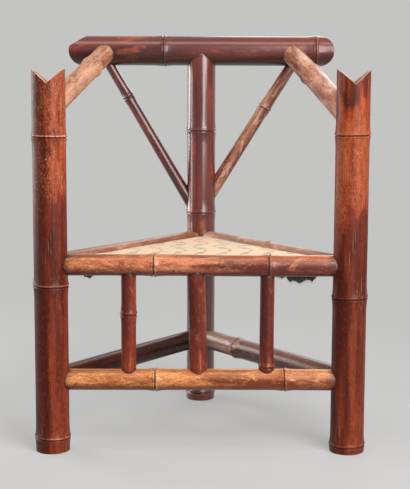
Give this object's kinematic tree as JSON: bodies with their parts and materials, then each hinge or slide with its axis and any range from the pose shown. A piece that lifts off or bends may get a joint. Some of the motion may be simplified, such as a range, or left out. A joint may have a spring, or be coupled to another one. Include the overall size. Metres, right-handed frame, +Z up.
{
  "type": "corner chair",
  "caption": "Corner chair of round bamboo canes: swallow-tailed front posts, crest rail on a rear post, sloping arms, V braces, stretchers, spindles and a triangular lift-out padded seat.",
  "frame": {"origin": "on the floor, under the middle of the chair's bounding box", "axes": "+Z up, +X to the right as seen from the front, +Y from the front towards the rear post; the chair faces -Y"},
  "size_m": [0.695, 0.5018, 0.8793],
  "materials": {
    "post_bamboo": "stained bamboo, orange-red over brown, shellac gloss",
    "dark_bamboo": "dark red-brown stained bamboo, shellac gloss",
    "bleached_bamboo": "bamboo worn and bleached to tan, satin",
    "russet_bamboo": "worn red-brown bamboo, satin",
    "honey_bamboo": "amber and brown bamboo, worn shellac gloss",
    "side_bamboo": "brown stained bamboo, dull shellac",
    "spindle_bamboo": "red-brown stained bamboo, shellac gloss",
    "dowel_wood": "raw turned wood",
    "cleat_wood": "sawn softwood, aged",
    "board_wood": "planed softwood, aged",
    "seat_fabric": "cream woven furnishing cloth with faint scrolls",
    "stuffing": "cotton wadding",
    "dust_cloth": "thin dark cotton, torn",
    "iron": "dull iron"
  },
  "bodies": {
    "frame": {"front_left_post": "post_bamboo", "front_right_post": "post_bamboo", "rear_post": "dark_bamboo", "crest_rail": "dark_bamboo", "left_arm": "bleached_bamboo", "right_arm": "russet_bamboo", "left_brace": "dark_bamboo", "right_brace": "russet_bamboo", "front_seat_rail": "honey_bamboo", "left_seat_rail": "side_bamboo", "right_seat_rail": "side_bamboo", "front_stretcher": "honey_bamboo", "left_stretcher": "side_bamboo", "right_stretcher": "side_bamboo", "left_spindle": "spindle_bamboo", "centre_spindle": "spindle_bamboo", "right_spindle": "spindle_bamboo", "seat_rail_dowels": "dowel_wood", "stretcher_dowels": "dowel_wood", "arm_dowels": "dowel_wood", "brace_dowels": "dowel_wood", "spindle_dowels": "dowel_wood", "crest_dowel": "dowel_wood", "joint_nails": "iron", "cleat_nails": "iron", "dust_cover_tacks": "iron", "front_cleat": "cleat_wood", "left_cleat": "cleat_wood", "right_cleat": "cleat_wood", "dust_cover": "dust_cloth"},
    "seat": {"seat_board": "board_wood", "seat_stuffing": "stuffing", "seat_cover": "seat_fabric", "cover_tacks": "iron"}
  },
  "joints": [
    {"name": "seat_lift", "type": "slide", "parent": "frame", "child": "seat", "axis": [0, 0, 1], "range_m": [0, 0.12]}
  ]
}
